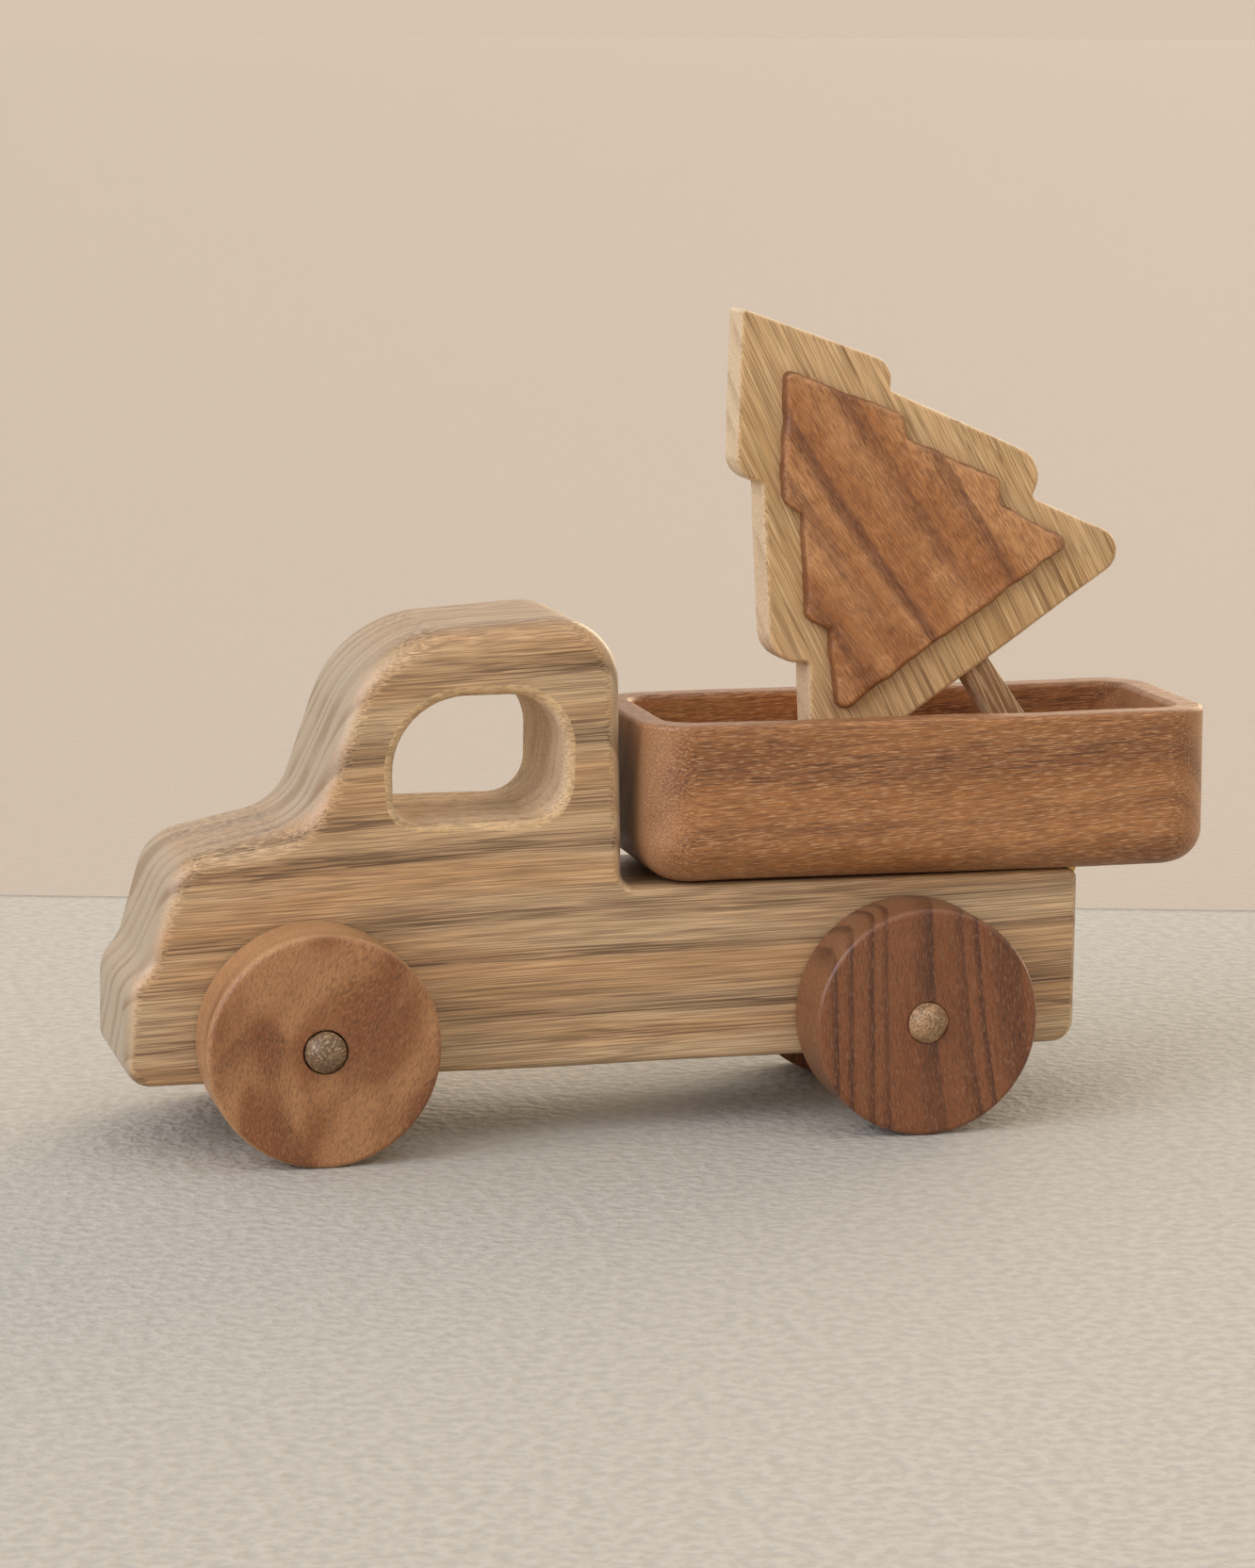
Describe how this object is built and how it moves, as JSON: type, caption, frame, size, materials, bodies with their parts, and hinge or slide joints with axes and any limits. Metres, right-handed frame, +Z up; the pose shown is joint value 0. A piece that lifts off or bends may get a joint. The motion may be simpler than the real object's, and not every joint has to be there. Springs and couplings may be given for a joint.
{
  "type": "toy dump truck",
  "caption": "Wooden toy truck with dowel axles, a see-through cab window, a hollowed tray that tips back on a hidden hinge, and a cut-out tree as its load.",
  "frame": {"origin": "on the floor, under the middle of the overall length and width", "axes": "+Z up, -X towards the front of the truck, +Y towards its right side"},
  "size_m": [0.2176, 0.076, 0.1592],
  "materials": {
    "ash_board": "sanded and oiled, satin",
    "front_dowel": "sanded dowel, oiled",
    "rear_dowel": "sanded dowel, oiled",
    "front_wheel_teak": "sanded and oiled, satin",
    "rear_wheel_walnut": "sanded and oiled, satin",
    "tray_teak": "sanded and oiled, satin",
    "hinge_brass": "rolled and brushed",
    "screw_brass": "turned",
    "tree_ash": "sanded, waxed",
    "panel_teak": "sanded, waxed"
  },
  "bodies": {
    "truck": {"chassis": "ash_board", "hinge_leaf_chassis": "hinge_brass", "hinge_pin": "hinge_brass", "hinge_screws_chassis": "screw_brass"},
    "front_wheels": {"front_axle": "front_dowel", "wheel_front_left": "front_wheel_teak", "wheel_front_right": "front_wheel_teak"},
    "rear_wheels": {"rear_axle": "rear_dowel", "wheel_rear_left": "rear_wheel_walnut", "wheel_rear_right": "rear_wheel_walnut"},
    "tipping_tray": {"tray": "tray_teak", "hinge_leaf_tray": "hinge_brass", "hinge_screws_tray": "screw_brass"},
    "tree": {"tree_board": "tree_ash", "tree_panel": "panel_teak", "tree_trunk": "tree_ash"}
  },
  "joints": [
    {"name": "front_axle_spin", "type": "hinge", "parent": "truck", "child": "front_wheels", "pos_m": [-0.0732, 0, 0.0225], "axis": [0, 1, 0], "continuous": true},
    {"name": "rear_axle_spin", "type": "hinge", "parent": "truck", "child": "rear_wheels", "pos_m": [0.0458, 0, 0.0225], "axis": [0, 1, 0], "continuous": true},
    {"name": "tray_tip", "type": "hinge", "parent": "truck", "child": "tipping_tray", "pos_m": [0.0834, 0, 0.0474], "axis": [0, 1, 0], "range_deg": [0, 75]},
    {"name": "tree_lift", "type": "slide", "parent": "tipping_tray", "child": "tree", "axis": [0, 0, 1], "range_m": [0, 0.1]}
  ]
}
